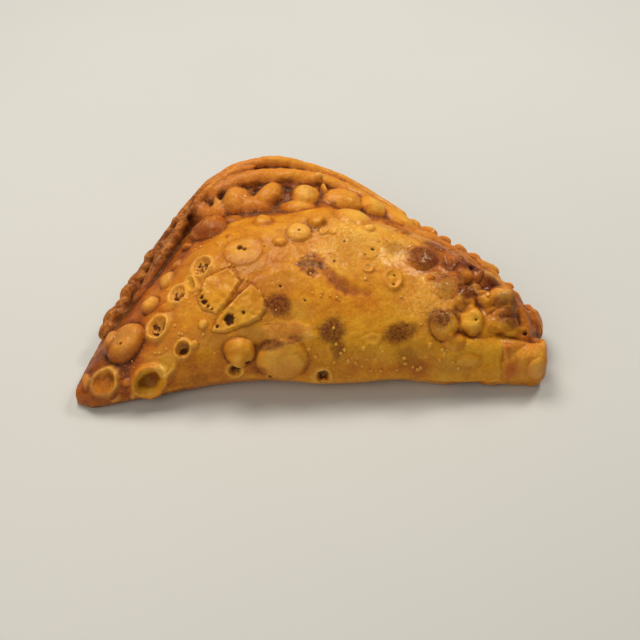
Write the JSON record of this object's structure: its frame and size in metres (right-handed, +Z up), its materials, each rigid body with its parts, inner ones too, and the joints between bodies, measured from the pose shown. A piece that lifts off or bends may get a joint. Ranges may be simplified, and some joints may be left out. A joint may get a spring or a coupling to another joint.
{
  "type": "fried empanada",
  "caption": "Large fried empanada: a filled half-moon of blistered dough, folded along its front edge and closed by a crimped, rolled rim that stands up behind.",
  "frame": {"origin": "on the table, under the middle of the whole", "axes": "+X along the fold, +Y from the fold to the rim, +Z up"},
  "size_m": [0.1631, 0.0954, 0.0398],
  "materials": {
    "fried_dough": "oily, blistered, golden brown"
  },
  "bodies": {
    "root": {"crust": "fried_dough"}
  },
  "joints": []
}
